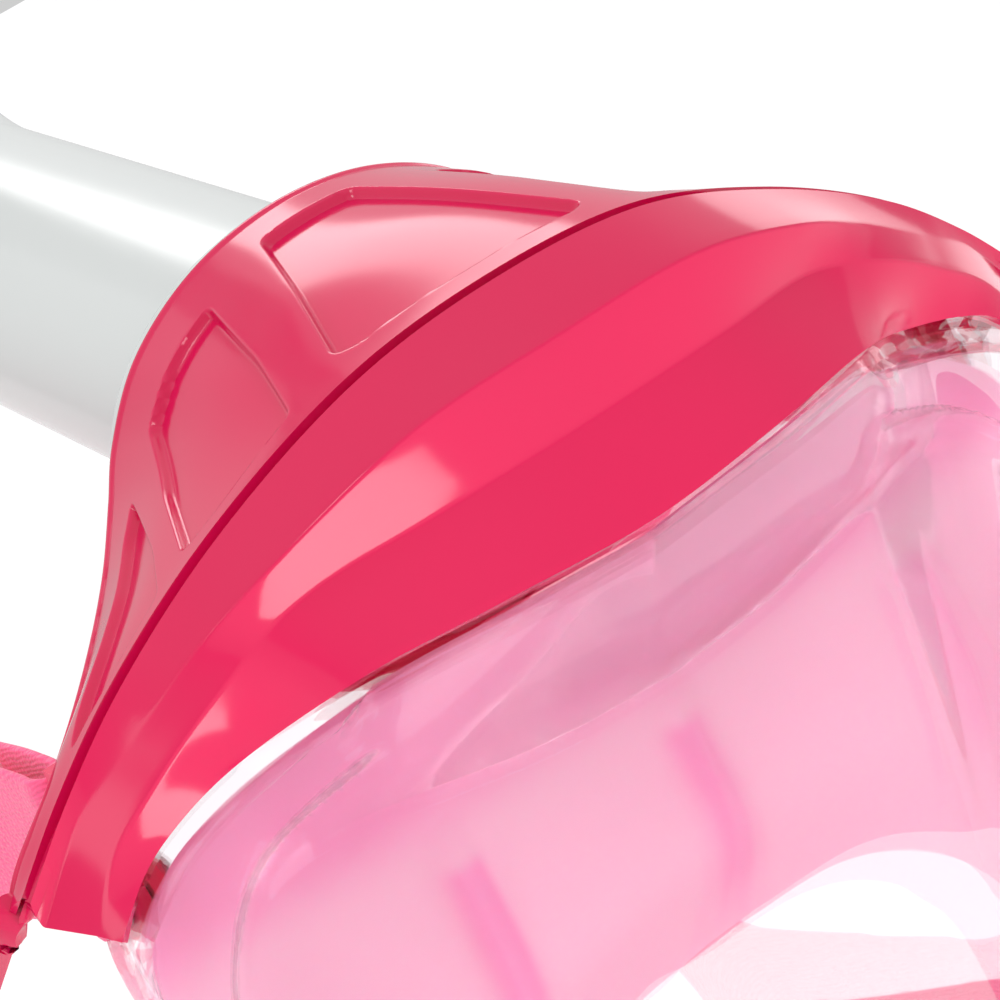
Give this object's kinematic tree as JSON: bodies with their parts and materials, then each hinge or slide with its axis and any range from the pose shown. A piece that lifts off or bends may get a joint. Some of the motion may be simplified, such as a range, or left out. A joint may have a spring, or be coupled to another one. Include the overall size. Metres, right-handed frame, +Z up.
{
  "type": "full face snorkel mask",
  "caption": "Full face snorkel mask: clear window in a faceted top band, silicone face skirt, oval snorkel tube with a float dry top, drain valves and a strap harness.",
  "frame": {"origin": "centre of the face opening, in the plane where the skirt meets the face", "axes": "+Z up as worn, -Y out through the window, +X to the wearer's left"},
  "size_m": [0.1887, 0.2525, 0.5014],
  "materials": {
    "pink_shell": "gloss",
    "white_shell": "gloss",
    "clear_window": "clear",
    "skirt_silicone": "translucent satin",
    "valve_rubber": "matte",
    "strap_fabric": "woven",
    "clip_plastic": "satin",
    "steel": "satin",
    "seal_rubber": "matte",
    "float_foam": "matte"
  },
  "bodies": {
    "mask": {"front_band": "pink_shell", "crown": "pink_shell", "crown_back": "pink_shell", "chin_frame": "pink_shell", "chin_screw_upper_left": "steel", "chin_screw_upper_right": "steel", "chin_screw_middle_left": "steel", "chin_screw_middle_right": "steel", "lens": "clear_window", "skirt": "skirt_silicone", "nose_cup": "skirt_silicone", "inhale_valve_left_seat": "white_shell", "inhale_valve_right_seat": "white_shell", "exhaust_valve_left_seat": "white_shell", "exhaust_valve_right_seat": "white_shell", "exhaust_valve_left_cover": "pink_shell", "exhaust_valve_right_cover": "pink_shell", "chin_valve_seat": "white_shell", "chin_valve_cover": "pink_shell", "snorkel_socket": "pink_shell", "collar": "white_shell", "release_spring": "steel", "strap_lug_left": "pink_shell", "strap_lug_right": "pink_shell", "pivot_pin_left": "steel", "pivot_pin_right": "steel", "lower_hook_left": "pink_shell", "lower_hook_right": "pink_shell"},
    "snorkel": {"snorkel_tube": "white_shell", "tube_divider": "white_shell", "tube_seal": "seal_rubber", "dry_top_body": "white_shell", "dry_top_cap": "pink_shell", "float_guide": "white_shell", "float_seal": "seal_rubber"},
    "dry_top_float": {"float": "float_foam"},
    "button": {"release_button": "clip_plastic"},
    "inhale_flap_left": {"inhale_valve_left_flap": "valve_rubber"},
    "inhale_flap_right": {"inhale_valve_right_flap": "valve_rubber"},
    "exhaust_flap_left": {"exhaust_valve_left_flap": "valve_rubber"},
    "exhaust_flap_right": {"exhaust_valve_right_flap": "valve_rubber"},
    "chin_flap": {"chin_valve_flap": "valve_rubber"},
    "harness": {"upper_buckle_left": "clip_plastic", "upper_buckle_right": "clip_plastic", "upper_strap_left": "strap_fabric", "upper_strap_right": "strap_fabric", "lower_strap_left": "strap_fabric", "lower_strap_right": "strap_fabric", "lower_clip_left": "clip_plastic", "lower_clip_right": "clip_plastic", "head_pad": "strap_fabric"}
  },
  "joints": [
    {"name": "snorkel_pull", "type": "slide", "parent": "mask", "child": "snorkel", "axis": [0, 0.9232, 0.3843], "range_m": [0, 0.035]},
    {"name": "float_slide", "type": "slide", "parent": "snorkel", "child": "dry_top_float", "axis": [0, 0, 1], "range_m": [0, 0.012]},
    {"name": "button_press", "type": "slide", "parent": "mask", "child": "button", "axis": [0, -0.3843, 0.9232], "range_m": [0, 0.0016], "stiffness_N_per_m": 400},
    {"name": "inhale_left_open", "type": "hinge", "parent": "mask", "child": "inhale_flap_left", "pos_m": [0.01281, -0.01111, -0.01453], "axis": [0.4961, 0.8682, 0], "range_deg": [0, 14], "stiffness_Nm_per_rad": 0.001},
    {"name": "inhale_right_open", "type": "hinge", "parent": "mask", "child": "inhale_flap_right", "pos_m": [-0.01281, -0.01111, -0.01453], "axis": [0.4961, -0.8682, 0], "range_deg": [0, 14], "stiffness_Nm_per_rad": 0.001},
    {"name": "exhaust_left_open", "type": "hinge", "parent": "mask", "child": "exhaust_flap_left", "pos_m": [0.05398, -0.03214, -0.0145], "axis": [-0.8, -0.6, 0], "range_deg": [0, 12], "stiffness_Nm_per_rad": 0.001},
    {"name": "exhaust_right_open", "type": "hinge", "parent": "mask", "child": "exhaust_flap_right", "pos_m": [-0.05398, -0.03214, -0.0145], "axis": [-0.8, 0.6, 0], "range_deg": [0, 12], "stiffness_Nm_per_rad": 0.001},
    {"name": "chin_drain_open", "type": "hinge", "parent": "mask", "child": "chin_flap", "pos_m": [0, -0.0538, -0.0465], "axis": [-1, 0, 0], "range_deg": [0, 12], "stiffness_Nm_per_rad": 0.001},
    {"name": "harness_swing", "type": "hinge", "parent": "mask", "child": "harness", "pos_m": [0, -0.005, 0.121], "axis": [1, 0, 0], "range_deg": [0, 15]}
  ]
}
